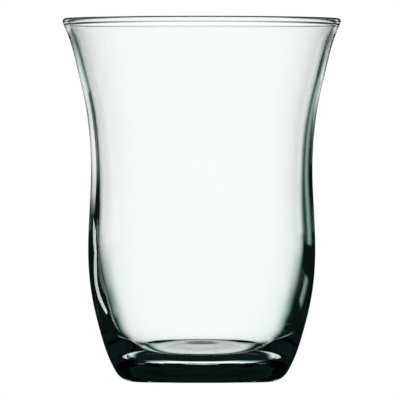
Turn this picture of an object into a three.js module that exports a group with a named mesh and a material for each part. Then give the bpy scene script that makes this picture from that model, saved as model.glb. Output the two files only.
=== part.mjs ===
// A Turkish tea glass: one piece of clear pressed glass with a wide flared mouth, a gentle waist,
// a full belly and a thick base. It is a surface of revolution about +Z, in millimetres, and it
// stands on the plane z = 0 with the origin at the middle of its foot.
import * as THREE from "three";

// Driving dimensions
const GLASS_HEIGHT = 80;
const LIP_THICKNESS = 1.4;
const LIP_LEAN = THREE.MathUtils.degToRad(24); // how far the lip leans out from upright
const LIP_CENTRE_RADIUS = 29.93;
const FOOT_OUTER_RADIUS = 14.9; // outer edge of the flat ring that the glass stands on
const FOOT_INNER_RADIUS = 12.6;
const PUSH_UP_HEIGHT = 0.2; // how far the underside is hollowed inside that ring
const HEEL_RADIUS = 4.7; // rounding between the foot and the side
const HEEL_LEAN = THREE.MathUtils.degToRad(29); // the side's lean where the rounding ends
const FLOOR_HEIGHT = 4.8; // thickness of the base at its middle

// Stations of the outer side above the heel, as [radius, height]
const OUTER_SIDE = [
  [20.35, 5.1],
  [22.3, 10.9],
  [23.9, 17.4],
  [24.8, 23.9],
  [25, 29.5], // belly
  [24.72, 37.5],
  [24.36, 46.8], // waist
  [24.7, 54.2],
  [25.75, 61.9],
  [27.3, 68.6],
  [29.2, 75.7],
];

// Stations of the inner side below the lip, from the mouth down to the floor
const INNER_SIDE = [
  [27.88, 76.1],
  [25.93, 69.4],
  [24.1, 61.9],
  [22.9, 54],
  [22.5, 46.8], // waist
  [22.55, 37.5],
  [22.75, 30], // belly
  [22.35, 24.9],
  [21.5, 19.9],
  [20.4, 15.6],
  [18.95, 11.4],
  [17.13, 8.4],
  [15.5, 6.6],
  [13.5, 5.4],
  [5.1, 4.9],
];

// How finely the round outline is cut into flats
const SIDES_AROUND = 64;
const STEPS_PER_STATION = 2;
const HEEL_STEPS = 6;
const LIP_STEPS = 6;
const PUSH_UP_STEPS = 3;

const MATERIAL = {
  color: 0xdcebe6, // clear soda-lime glass with a faint green cast
  roughness: 0.03,
  metalness: 0,
  transparent: true,
  opacity: 0.35,
};

// The underside, from the axis out to the foot ring: a shallow dome with its apex on the axis.
function undersideOutline() {
  return Array.from({ length: PUSH_UP_STEPS + 1 }, (_, step) => {
    const share = step / PUSH_UP_STEPS;
    const height = PUSH_UP_HEIGHT * (1 - share * share);
    return new THREE.Vector2(FOOT_INNER_RADIUS * share, height);
  });
}

// The heel: a round arc from the flat foot up to the leaning side.
function heelOutline() {
  const centre = new THREE.Vector2(FOOT_OUTER_RADIUS, HEEL_RADIUS);
  const sweep = Math.PI / 2 - HEEL_LEAN;
  return Array.from({ length: HEEL_STEPS + 1 }, (_, step) => {
    const turn = (sweep * step) / HEEL_STEPS;
    return new THREE.Vector2(
      centre.x + HEEL_RADIUS * Math.sin(turn),
      centre.y - HEEL_RADIUS * Math.cos(turn),
    );
  });
}

// The fire-polished lip: half a circle square to the leaning wall, from outside over to inside.
function lipOutline() {
  const radius = LIP_THICKNESS / 2;
  const centre = new THREE.Vector2(LIP_CENTRE_RADIUS, GLASS_HEIGHT - radius);
  return Array.from({ length: LIP_STEPS + 1 }, (_, step) => {
    const turn = (Math.PI * step) / LIP_STEPS - LIP_LEAN;
    return new THREE.Vector2(
      centre.x + radius * Math.cos(turn),
      centre.y + radius * Math.sin(turn),
    );
  });
}

// A smooth curve through a run of stations, between two points that are already placed.
function sideOutline(start, stations, end) {
  const through = [start, ...stations.map((place) => new THREE.Vector2(...place)), end];
  const curve = new THREE.SplineCurve(through);
  return curve.getPoints((through.length - 1) * STEPS_PER_STATION).slice(1, -1);
}

function glassOutline() {
  const heel = heelOutline();
  const lip = lipOutline();
  const floorMiddle = new THREE.Vector2(0, FLOOR_HEIGHT);
  return [
    ...undersideOutline(),
    ...heel,
    ...sideOutline(heel.at(-1), OUTER_SIDE, lip[0]),
    ...lip,
    ...sideOutline(lip.at(-1), INNER_SIDE, floorMiddle),
    floorMiddle,
  ];
}

// The outline turned about the axis. A lathe turns about Y, so the solid is stood up on +Z.
function glassGeometry() {
  return new THREE.LatheGeometry(glassOutline(), SIDES_AROUND).rotateX(Math.PI / 2);
}

const glass = new THREE.Mesh(glassGeometry(), new THREE.MeshStandardMaterial(MATERIAL));
glass.name = "glass";

const teaGlass = new THREE.Group();
teaGlass.add(glass);

export default teaGlass;
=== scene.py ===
"""A Turkish tea glass, empty, standing on a white light table.

The glass is one smooth surface of revolution about +Z, and stands in for the frame's flat-sided
solid. Lengths are written in millimetres and the studio's angles in degrees.
"""
import math

import bpy
import numpy as np
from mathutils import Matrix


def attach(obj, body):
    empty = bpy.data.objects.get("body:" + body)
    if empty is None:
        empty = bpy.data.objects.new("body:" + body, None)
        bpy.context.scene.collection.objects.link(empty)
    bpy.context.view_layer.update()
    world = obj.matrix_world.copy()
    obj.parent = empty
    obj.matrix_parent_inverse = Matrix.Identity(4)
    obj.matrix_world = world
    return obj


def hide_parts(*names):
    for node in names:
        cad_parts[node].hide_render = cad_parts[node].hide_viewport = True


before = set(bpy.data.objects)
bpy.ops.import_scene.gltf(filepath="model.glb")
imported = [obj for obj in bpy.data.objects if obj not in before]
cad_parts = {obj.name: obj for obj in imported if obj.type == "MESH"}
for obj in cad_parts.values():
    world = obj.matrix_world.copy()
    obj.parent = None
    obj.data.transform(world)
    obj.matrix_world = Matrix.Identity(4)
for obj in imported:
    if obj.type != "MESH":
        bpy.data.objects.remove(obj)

MM = 0.001

# The photograph's view, read off in its pixels at the glass's axis. The camera stands far away,
# so that the rim shows as flat an ellipse as it does there.
PICTURE_WIDTH = 400
AXIS_COLUMN = 201.75
FOOT_ROW = 381.8
PIXELS_PER_MM = 4.544
CAMERA_DISTANCE = 2200
SENSOR_WIDTH = 36

# Driving dimensions of the glass
GLASS_HEIGHT = 80
LIP_THICKNESS = 1.4
LIP_LEAN = math.radians(24)  # how far the lip leans out from upright
LIP_CENTRE_RADIUS = 29.93
FOOT_OUTER_RADIUS = 14.9  # outer edge of the flat ring that the glass stands on
FOOT_INNER_RADIUS = 12.6
PUSH_UP_HEIGHT = 0.2  # how far the underside is hollowed inside that ring
HEEL_RADIUS = 4.7  # rounding between the foot and the side
HEEL_LEAN = math.radians(29)  # the side's lean where the rounding ends
FLOOR_HEIGHT = 4.8  # thickness of the base at its middle

# Stations of the outer side above the heel, as radius and height
OUTER_SIDE = [
    (20.35, 5.1),
    (22.3, 10.9),
    (23.9, 17.4),
    (24.8, 23.9),
    (25.0, 29.5),  # belly
    (24.72, 37.5),
    (24.36, 46.8),  # waist
    (24.7, 54.2),
    (25.75, 61.9),
    (27.3, 68.6),
    (29.2, 75.7),
]

# Stations of the inner side just below the lip. The fire-polished rim is a slight bead, and here
# the wall is necked in under it, by 0.15 mm at most.
RIM_NECK = [
    (29.196, 79.353),
    (29.131, 79.056),
    (29.064, 78.76),
    (28.914, 78.335),
    (28.609, 77.595),
    (28.258, 76.766),
    (27.965, 76.07),
]

# Stations of the inner side from below that neck down to the floor
INNER_SIDE = [
    (25.93, 69.4),
    (24.1, 61.9),
    (22.9, 54),
    (22.5, 46.8),  # waist
    (22.55, 37.5),
    (22.75, 30),  # belly
    (22.35, 24.9),
    (21.5, 19.9),
    (20.4, 15.6),
    (18.95, 11.4),
    (17.13, 8.4),
    (15.5, 6.6),
    (13.5, 5.4),
    (5.1, 4.9),
]

# How finely the outline and the turn are divided
SIDES_AROUND = 288
STEPS_PER_STATION = 7
UNDERSIDE_POINTS = 16
HEEL_POINTS = 16
LIP_POINTS = 20

# The slow waves that the mould leaves in the glass
WAVE_LENGTH = 11.1
WAVE_DEPTH = 0.01

WHITE = "FFFFFF"
ROOM_COLOUR = "10191A"  # the dark room between the light panels
CARD_BLACK = "0B1311"
CARD_WHITE = "E8F6EF"
CARD_TEAL = "CDFBF0"

# The studio's light comes from soft panels far away. Each is an azimuth, counted from straight
# behind the glass to the right, its half width and the width of its soft sides, its lowest and
# highest elevation, the widths of its soft lower and upper edge, and its brightness.
# The back panels show through the glass: a broad one, a brighter one on the left, and a narrow
# one that reaches far down and lights the base.
BACK_PANELS = [
    (-2, 17, 14, -4, 5, 9, 5, 1.145),
    (-15, 6, 18, -2, 5, 10, 5, 1.22),
    (0, 9, 14, -38, 0, 10, 6, 1.145),
]
# The side panels brighten the glass in views from other sides. Light that was mirrored within
# the glass doesn't see them, so they put no patches into its base.
SIDE_PANELS = [
    (-90, 14, 8, -38, 5, 10, 5, 1.1),
    (-45, 14, 8, -40, -14, 8, 6, 1.05),
    (135, 14, 8, -35, -8, 8, 5, 1.05),
]
# A panel's brightness is raised to these powers, so it turns from white to teal as it fades out.
TEAL_FALL = {"Red": 1.35, "Green": 1.0, "Blue": 1.1}

# Cards with soft edges, behind the glass. Each is its left and right side, bottom and top, the
# widths of its soft sides and of its soft bottom and top, its distance behind the axis, its
# colour and its brightness. The black flags darken the base and the lower walls, and the teal
# cards put light shapes into the right wall.
CARDS = {
    "flag_left": (-90, -19, -16, 40, 1, 4, 27, CARD_BLACK, 1.0),
    "flag_middle": (-21, 21, -2.5, 32, 1, 0.5, 27, CARD_BLACK, 1.0),
    "flag_right": (19, 90, -16, 64, 1, 14, 27, CARD_BLACK, 1.0),
    "card_right": (26.6, 32.6, 29, 66, 2.9, 1, 4.8, CARD_TEAL, 0.5),
    "card_right_low": (26.6, 32.6, 13, 21.5, 2.9, 1.5, 4.8, CARD_TEAL, 0.4),
}

# Boards with sharp edges, closer behind the glass. Each has a colour and rows of a height with
# the board's left and right edge there. The black ones darken the wall's edges, and the white
# one puts a thin light line into the left edge.
BOARD_DISTANCE = 5
BOARDS = {
    "black_board_left": (
        CARD_BLACK,
        [(62, -60, -29.9), (55, -60, -29), (38, -60, -29), (36, -60, -28.2), (33, -60, -31.2),
         (27, -60, -32), (23, -60, -30.7), (19.5, -60, -29.2), (16, -60, -29.2), (11, -60, -32),
         (9, -60, -32)],
    ),
    "white_board_left": (
        CARD_WHITE,
        [(36, -28.2, -28.1), (33, -31.2, -28.3), (27, -32, -29.5), (23, -30.7, -27.8),
         (19.5, -29.2, -26.8), (16, -29.2, -26.8), (13, -30.4, -28.4), (11, -31.6, -30)],
    ),
    "black_strip_left": (
        CARD_BLACK,
        [(36, -28.1, -26.8), (33, -28.3, -25), (27, -29.5, -24.9), (23, -27.8, -24.9),
         (19.5, -26.8, -24.6), (16, -26.8, -24.6), (13, -28.4, -23.4), (11, -30, -21.8),
         (9, -32, -21)],
    ),
    "black_board_right": (
        CARD_BLACK,
        [(62, 29, 60), (55, 27, 60), (51, 26.2, 60), (45, 26, 60), (38, 26.2, 60), (33, 26.5, 60),
         (27, 26.4, 60), (25, 25.3, 60), (23, 24.3, 60), (19.5, 23.6, 60), (16, 23.1, 60),
         (11, 21.3, 60), (9, 20.5, 60)],
    ),
}

TABLE_HALF_WIDTH = 3000
TABLE_GAP = 0.05  # how far the light table lies below the foot

# How often light may turn at the glass before it is lost
MOST_TURNS = 24
MOST_MIRRORINGS = 12


def linear(hex_colour):
    """An sRGB hex colour as linear red, green, blue and alpha: the sRGB curve undone."""
    channels = [int(hex_colour[i : i + 2], 16) / 255 for i in (0, 2, 4)]
    curve = [c / 12.92 if c <= 0.04045 else ((c + 0.055) / 1.055) ** 2.4 for c in channels]
    return (*curve, 1.0)


def add(tree, kind, settings=(), links=()):
    """Adds a node of a kind, with its settings, default values (by socket) and incoming links."""
    node = tree.nodes.new(kind)
    for name, value in dict(settings).items():
        if isinstance(name, str) and hasattr(node, name):
            setattr(node, name, value)
        else:
            node.inputs[name].default_value = value
    for socket, source in dict(links).items():
        tree.links.new(source, node.inputs[socket])
    return node


def chain(tree, operation, sources):
    """Joins sources one after another with one operation, such as into their product."""
    joined = sources[0]
    for source in sources[1:]:
        settings = {"operation": operation}
        joined = add(tree, "ShaderNodeMath", settings, {0: joined, 1: source}).outputs[0]
    return joined


def band(tree, source, low, high, low_edge, high_edge):
    """1 between two values of the source, with a smooth fall to 0 over an edge on either side:
    the product of a smooth step up and a smooth step down. In each step, sockets 1 and 2 are
    where it starts and ends, and sockets 3 and 4 what it gives there."""
    rise = {"interpolation_type": "SMOOTHSTEP", 1: low - low_edge, 2: low, 3: 0.0, 4: 1.0}
    fall = {"interpolation_type": "SMOOTHSTEP", 1: high, 2: high + high_edge, 3: 1.0, 4: 0.0}
    steps = [add(tree, "ShaderNodeMapRange", step, {0: source}) for step in (rise, fall)]
    return chain(tree, "MULTIPLY", [step.outputs[0] for step in steps])


def new_material(name):
    """A material with nothing in its node tree yet."""
    material = bpy.data.materials.new(name)
    material.use_nodes = True
    material.node_tree.nodes.clear()
    return material


def new_piece(name, points, faces, material):
    """A mesh of points in millimetres, in its place, with its material."""
    mesh = bpy.data.meshes.new(name)
    mesh.from_pydata((np.array(points) * MM).tolist(), [], faces)
    mesh.materials.append(material)
    piece = bpy.data.objects.new(name, mesh)
    bpy.context.scene.collection.objects.link(piece)
    return piece


def make_camera():
    """A long lens, level, at the height that the middle row of the picture looks at."""
    middle = PICTURE_WIDTH / 2
    data = bpy.data.cameras.new("camera")
    data.sensor_width = SENSOR_WIDTH
    data.lens = SENSOR_WIDTH * CAMERA_DISTANCE * PIXELS_PER_MM / PICTURE_WIDTH
    camera = bpy.data.objects.new("camera", data)
    side = (middle - AXIS_COLUMN) / PIXELS_PER_MM
    height = (FOOT_ROW - middle) / PIXELS_PER_MM
    camera.location = (side * MM, -CAMERA_DISTANCE * MM, height * MM)
    camera.rotation_euler = (math.pi / 2, 0, 0)
    bpy.context.scene.collection.objects.link(camera)
    bpy.context.scene.camera = camera


def smooth_curve(stations, start_slope, end_slope):
    """A cubic spline through the stations whose curvature never jumps: the slopes at the
    stations solve the three-term equations that make the second derivative continuous, and
    the slopes at both ends are given. Between two stations the curve is the one cubic that
    has their places and slopes."""
    points = np.array(stations, dtype=float)
    count = len(points)
    length = np.hypot(*np.diff(points, axis=0).T)
    inner = np.arange(1, count - 1)
    before, after = length[inner - 1], length[inner]
    equations = np.eye(count)
    equations[inner, inner - 1] = after
    equations[inner, inner] = 2 * (before + after)
    equations[inner, inner + 1] = before
    rise = np.diff(points, axis=0) / length[:, None]
    known = np.zeros_like(points)
    known[0], known[-1] = start_slope, end_slope
    known[inner] = 3 * (after[:, None] * rise[inner - 1] + before[:, None] * rise[inner])
    slope = np.linalg.solve(equations, known)
    share = np.linspace(0, 1, STEPS_PER_STATION, endpoint=False)[None, :, None]
    left, right = points[:-1, None], points[1:, None]
    leave = slope[:-1, None] * length[:, None, None]
    arrive = slope[1:, None] * length[:, None, None]
    run = (
        (2 * share**3 - 3 * share**2 + 1) * left
        + (share**3 - 2 * share**2 + share) * leave
        + (3 * share**2 - 2 * share**3) * right
        + (share**3 - share**2) * arrive
    )
    return np.concatenate([run.reshape(-1, 2), points[-1:]])


def arc(centre, radius, start, end, count):
    """A number of points on a circle of a radius about a centre, from one angle to another: the
    centre plus radius times the cosine and sine of the angle."""
    turn = np.linspace(start, end, count)
    return np.column_stack([centre[0] + radius * np.cos(turn), centre[1] + radius * np.sin(turn)])


def glass_outline():
    """Half the glass's section as radius and height, from the axis under the foot, round the
    heel, up the outside, over the lip, down the inside and along the floor to the axis. The
    underside is a parabola, and the heel and the lip are arcs."""
    share = np.linspace(0, 1, UNDERSIDE_POINTS)
    underside = np.column_stack([FOOT_INNER_RADIUS * share, PUSH_UP_HEIGHT * (1 - share**2)])
    heel_centre = (FOOT_OUTER_RADIUS, HEEL_RADIUS)
    heel = arc(heel_centre, HEEL_RADIUS, -math.pi / 2, -HEEL_LEAN, HEEL_POINTS)
    lip_radius = LIP_THICKNESS / 2
    lip_centre = (LIP_CENTRE_RADIUS, GLASS_HEIGHT - lip_radius)
    lip = arc(lip_centre, lip_radius, -LIP_LEAN, math.pi - LIP_LEAN, LIP_POINTS)
    up = np.array([math.sin(HEEL_LEAN), math.cos(HEEL_LEAN)])
    out = np.array([math.sin(LIP_LEAN), math.cos(LIP_LEAN)])
    outside = smooth_curve([heel[-1], *OUTER_SIDE, lip[0]], up, out)
    inner_stations = [lip[-1], *RIM_NECK, *INNER_SIDE, (0, FLOOR_HEIGHT)]
    inside = smooth_curve(inner_stations, -out, (-1, 0))
    return np.concatenate([underside, heel, outside[1:-1], lip, inside[1:]])


def lathe(outline):
    """The outline turned about the axis: each point becomes a ring, with x as radius times the
    cosine of the turn and y as radius times its sine. The two points on the axis become single
    poles that close the surface. Returns the points and the faces."""
    rings = outline[1:-1]
    turn = np.arange(SIDES_AROUND) / SIDES_AROUND * 2 * np.pi
    x = rings[:, :1] * np.cos(turn)
    y = rings[:, :1] * np.sin(turn)
    z = np.broadcast_to(rings[:, 1:], x.shape)
    ring_points = np.stack([x, y, z], axis=-1).reshape(-1, 3)
    first_pole = np.array([[0, 0, outline[0, 1]]])
    last_pole = np.array([[0, 0, outline[-1, 1]]])
    points = np.concatenate([ring_points, first_pole, last_pole])

    around = np.arange(SIDES_AROUND)
    beside = (around + 1) % SIDES_AROUND
    row = np.arange(len(rings) - 1)[:, None] * SIDES_AROUND
    above = row + SIDES_AROUND
    quads = np.stack([row + around, row + beside, above + beside, above + around], axis=-1)
    top_row = (len(rings) - 1) * SIDES_AROUND
    first = np.full(SIDES_AROUND, len(ring_points))
    last = first + 1
    first_fan = np.column_stack([first, beside, around])
    last_fan = np.column_stack([last, top_row + around, top_row + beside])
    faces = [*quads.reshape(-1, 4).tolist(), *first_fan.tolist(), *last_fan.tolist()]
    return points, faces


def pressed_soda_lime_glass():
    """Soda-lime glass, pressed in a mould and fire-polished: clear and very smooth, so it shows
    only what it bends and mirrors. Its faint green cast gathers where light runs a long way
    through it. The mould leaves it slightly wavy, which makes the lines in the walls uneven."""
    material = new_material("pressed_soda_lime_glass")
    tree = material.node_tree
    place = add(tree, "ShaderNodeTexCoord")
    waviness = add(
        tree,
        "ShaderNodeTexNoise",
        {"Scale": 1 / (WAVE_LENGTH * MM), "Detail": 1.0, "Roughness": 0.4},
        {"Vector": place.outputs["Object"]},
    )
    bump = add(
        tree,
        "ShaderNodeBump",
        {"Strength": 1.0, "Distance": WAVE_DEPTH * MM},
        {"Height": waviness.outputs["Fac"]},
    )
    clear = {
        "Base Color": linear("FBFFFD"),
        "Roughness": 0.0,
        "IOR": 1.52,
        "Transmission Weight": 1.0,
    }
    glass = add(tree, "ShaderNodeBsdfPrincipled", clear, {"Normal": bump.outputs["Normal"]})
    green = {"Color": linear("BCF9E8"), "Density": 10.0}
    cast = add(tree, "ShaderNodeVolumeAbsorption", green)
    add(
        tree,
        "ShaderNodeOutputMaterial",
        (),
        {"Surface": glass.outputs["BSDF"], "Volume": cast.outputs["Volume"]},
    )
    return material


def make_glass():
    """The glass, in place of the frame's own solid."""
    points, faces = lathe(glass_outline())
    glass = new_piece("tea_glass", points, faces, pressed_soda_lime_glass())
    glass.data.shade_smooth()
    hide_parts("glass")
    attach(glass, "root")


def light_panel(tree, azimuth, elevation, measures):
    """One soft panel: its brightness in the directions between its sides, lower and upper edge,
    with a smooth fall to nothing beyond them. The azimuth is taken from the panel's middle, the
    short way round."""
    *angles, brightness = measures
    middle, half_width, side_edge, low, high, low_edge, high_edge = map(math.radians, angles)
    turned = add(tree, "ShaderNodeMath", {"operation": "SUBTRACT", 1: middle}, {0: azimuth})
    wrap = {"operation": "WRAP", 1: math.pi, 2: -math.pi}
    aside = add(tree, "ShaderNodeMath", wrap, {0: turned.outputs[0]})
    across = band(tree, aside.outputs[0], -half_width, half_width, side_edge, side_edge)
    upward = band(tree, elevation, low, high, low_edge, high_edge)
    shape = chain(tree, "MULTIPLY", [across, upward])
    strength = {"operation": "MULTIPLY", 1: brightness}
    return add(tree, "ShaderNodeMath", strength, {0: shape}).outputs[0]


def panel_light(tree, path):
    """How bright the panels are in each direction: the brightest of the back panels and, for
    light that wasn't mirrored within the glass, of the side panels too."""
    place = add(tree, "ShaderNodeTexCoord")
    axes = add(tree, "ShaderNodeSeparateXYZ", (), {0: place.outputs["Generated"]})
    flat = {0: axes.outputs["X"], 1: axes.outputs["Y"]}
    azimuth = add(tree, "ShaderNodeMath", {"operation": "ARCTAN2"}, flat).outputs[0]
    upright = {0: axes.outputs["Z"]}
    elevation = add(tree, "ShaderNodeMath", {"operation": "ARCSINE"}, upright).outputs[0]
    back = [light_panel(tree, azimuth, elevation, measures) for measures in BACK_PANELS]
    side = [light_panel(tree, azimuth, elevation, measures) for measures in SIDE_PANELS]
    never = {"operation": "LESS_THAN", 1: 0.5}
    unmirrored = add(tree, "ShaderNodeMath", never, {0: path.outputs["Glossy Depth"]})
    brightest_side = chain(tree, "MAXIMUM", side)
    seen_side = chain(tree, "MULTIPLY", [brightest_side, unmirrored.outputs[0]])
    return chain(tree, "MAXIMUM", [*back, seen_side])


def make_studio():
    """The light panels in a dark room, as one world. Light whose last turn was a mirroring sees
    only the room, and the camera itself sees an even white backdrop."""
    world = bpy.data.worlds.new("studio")
    bpy.context.scene.world = world
    world.use_nodes = True
    tree = world.node_tree
    tree.nodes.clear()
    path = add(tree, "ShaderNodeLightPath")
    reflected = {1: path.outputs["Is Reflection Ray"]}
    passed = add(tree, "ShaderNodeMath", {"operation": "SUBTRACT", 0: 1.0}, reflected)
    light = chain(tree, "MULTIPLY", [panel_light(tree, path), passed.outputs[0]])
    channels = {}
    for channel, power in TEAL_FALL.items():
        fall = {"operation": "POWER", 1: power}
        channels[channel] = add(tree, "ShaderNodeMath", fall, {0: light}).outputs[0]
    tinted = add(tree, "ShaderNodeCombineColor", (), channels)
    # Socket 6 is the room's colour, and the panels' light is added to it at socket 7.
    room = {"data_type": "RGBA", "blend_type": "ADD", 0: 1.0, 6: linear(ROOM_COLOUR)}
    colour = add(tree, "ShaderNodeMix", room, {7: tinted.outputs[0]})
    around = add(tree, "ShaderNodeBackground", (), {"Color": colour.outputs[2]})
    backdrop = add(tree, "ShaderNodeBackground", {"Color": linear(WHITE)})
    views = {0: path.outputs["Is Camera Ray"], 1: around.outputs[0], 2: backdrop.outputs[0]}
    seen = add(tree, "ShaderNodeMixShader", (), views)
    add(tree, "ShaderNodeOutputWorld", (), {"Surface": seen.outputs[0]})


def card_glow(name, colour, brightness, bands=()):
    """An even glow on a sheet's front, for light that was mirrored at least once within the glass,
    and nothing for other light. So the sheet shows in the glass's edges and base, but never
    straight through its walls. Each band is an axis, the two places on it between which the
    glow is full, and the widths of its soft edges beyond them."""
    material = new_material(name)
    tree = material.node_tree
    path = add(tree, "ShaderNodeLightPath")
    once = {"operation": "GREATER_THAN", 1: 0.5}
    mirrored = add(tree, "ShaderNodeMath", once, {0: path.outputs["Glossy Depth"]})
    side = add(tree, "ShaderNodeNewGeometry")
    back = {1: side.outputs["Backfacing"]}
    front = add(tree, "ShaderNodeMath", {"operation": "SUBTRACT", 0: 1.0}, back)
    place = add(tree, "ShaderNodeTexCoord")
    axes = add(tree, "ShaderNodeSeparateXYZ", (), {0: place.outputs["Object"]})
    fades = [band(tree, axes.outputs[axis], *ends) for axis, *ends in bands]
    shape = chain(tree, "MULTIPLY", [mirrored.outputs[0], front.outputs[0], *fades])
    glow = add(tree, "ShaderNodeEmission", {"Color": linear(colour), "Strength": brightness})
    nothing = add(tree, "ShaderNodeBsdfTransparent")
    mix = add(
        tree, "ShaderNodeMixShader", (), {0: shape, 1: nothing.outputs[0], 2: glow.outputs[0]}
    )
    add(tree, "ShaderNodeOutputMaterial", (), {"Surface": mix.outputs[0]})
    return material


def make_sheet(name, rows, distance, material):
    """An upright sheet behind the glass that faces the camera: a strip of four-sided faces between
    its left and right edges, row by row from its top down."""
    points = [(x, distance, height) for height, *edges in rows for x in edges]
    faces = [(i, i + 2, i + 3, i + 1) for i in range(0, len(points) - 2, 2)]
    sheet = new_piece(name, points, faces, material)
    sheet.visible_camera = False
    sheet.visible_glossy = False


def make_cards():
    """The flags and the teal cards: upright rectangles whose glow fades at their edges."""
    for name, measures in CARDS.items():
        left, right, low, high, side_edge, end_edge, distance, colour, brightness = measures
        across = np.array([left + side_edge, right - side_edge, side_edge, side_edge]) * MM
        upward = np.array([low + end_edge, high - end_edge, end_edge, end_edge]) * MM
        bands = [("X", *across), ("Z", *upward)]
        rows = [(high, left, right), (low, left, right)]
        make_sheet(name, rows, distance, card_glow(name, colour, brightness, bands))


def make_boards():
    """The boards: upright strips that glow evenly right up to their edges."""
    for name, (colour, rows) in BOARDS.items():
        make_sheet(name, rows, BOARD_DISTANCE, card_glow(name, colour, 1.0))


def backlit_opal_acrylic():
    """A light table's top, lit evenly from below: a plain white glow with no shadow on it."""
    material = new_material("backlit_opal_acrylic")
    tree = material.node_tree
    glow = add(tree, "ShaderNodeEmission", {"Color": linear(WHITE), "Strength": 1.0})
    add(tree, "ShaderNodeOutputMaterial", (), {"Surface": glow.outputs[0]})
    return material


def make_table():
    """A flat light table, wide enough to fill every view. Light that comes through the glass or
    off it sees past the table to the studio."""
    signs = [(-1, -1), (1, -1), (1, 1), (-1, 1)]
    corners = [(x * TABLE_HALF_WIDTH, y * TABLE_HALF_WIDTH, -TABLE_GAP) for x, y in signs]
    table = new_piece("light_table", corners, [(0, 1, 2, 3)], backlit_opal_acrylic())
    table.visible_transmission = False
    table.visible_glossy = False


def set_picture():
    """Plain colours, and room for light to run on within the glass at full brightness."""
    scene = bpy.context.scene
    scene.view_settings.view_transform = "Standard"
    scene.cycles.max_bounces = MOST_TURNS
    scene.cycles.transmission_bounces = MOST_TURNS
    scene.cycles.glossy_bounces = MOST_MIRRORINGS
    scene.cycles.sample_clamp_indirect = 0


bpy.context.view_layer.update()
make_camera()
make_glass()
make_studio()
make_cards()
make_boards()
make_table()
set_picture()
